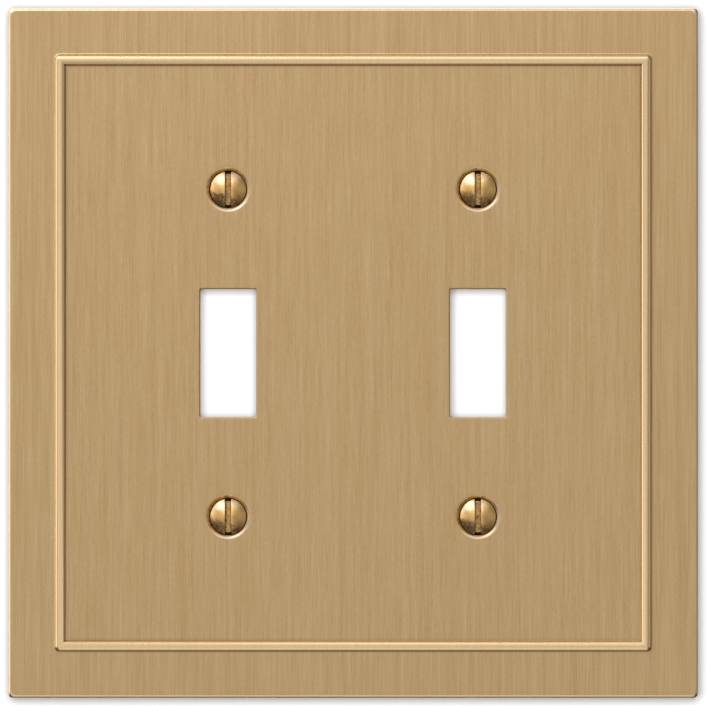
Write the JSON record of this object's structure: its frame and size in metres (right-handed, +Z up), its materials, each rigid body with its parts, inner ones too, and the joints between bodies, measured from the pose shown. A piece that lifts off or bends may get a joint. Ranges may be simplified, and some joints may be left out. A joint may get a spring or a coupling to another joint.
{
  "type": "toggle switch wall plate",
  "caption": "Square brass wall plate for two toggle switches, with a raised bead around a sunken panel and slotted oval-head screws.",
  "frame": {"origin": "middle of the four plate screws on the wall's surface, in the plane of the plate's back rim", "axes": "+Z up along the toggles' travel, +X to the right as seen from the room, +Y into the wall; the front faces -Y"},
  "size_m": [0.127, 0.0139, 0.127],
  "materials": {
    "brushed_brass": "satin, brushed along Z, with a brighter burnished bead",
    "antique_brass": "darkened antique brass with patina"
  },
  "bodies": {
    "wall_plate": {"wall_plate": "brushed_brass"},
    "upper_left_screw": {"upper_left_screw": "antique_brass"},
    "upper_right_screw": {"upper_right_screw": "antique_brass"},
    "lower_left_screw": {"lower_left_screw": "antique_brass"},
    "lower_right_screw": {"lower_right_screw": "antique_brass"}
  },
  "joints": [
    {"name": "upper_left_screw_turn", "type": "hinge", "parent": "wall_plate", "child": "upper_left_screw", "pos_m": [-0.02302, -0.005, 0.03016], "axis": [0, 1, 0], "continuous": true},
    {"name": "upper_right_screw_turn", "type": "hinge", "parent": "wall_plate", "child": "upper_right_screw", "pos_m": [0.02302, -0.005, 0.03016], "axis": [0, 1, 0], "continuous": true},
    {"name": "lower_left_screw_turn", "type": "hinge", "parent": "wall_plate", "child": "lower_left_screw", "pos_m": [-0.02302, -0.005, -0.03016], "axis": [0, 1, 0], "continuous": true},
    {"name": "lower_right_screw_turn", "type": "hinge", "parent": "wall_plate", "child": "lower_right_screw", "pos_m": [0.02302, -0.005, -0.03016], "axis": [0, 1, 0], "continuous": true}
  ]
}
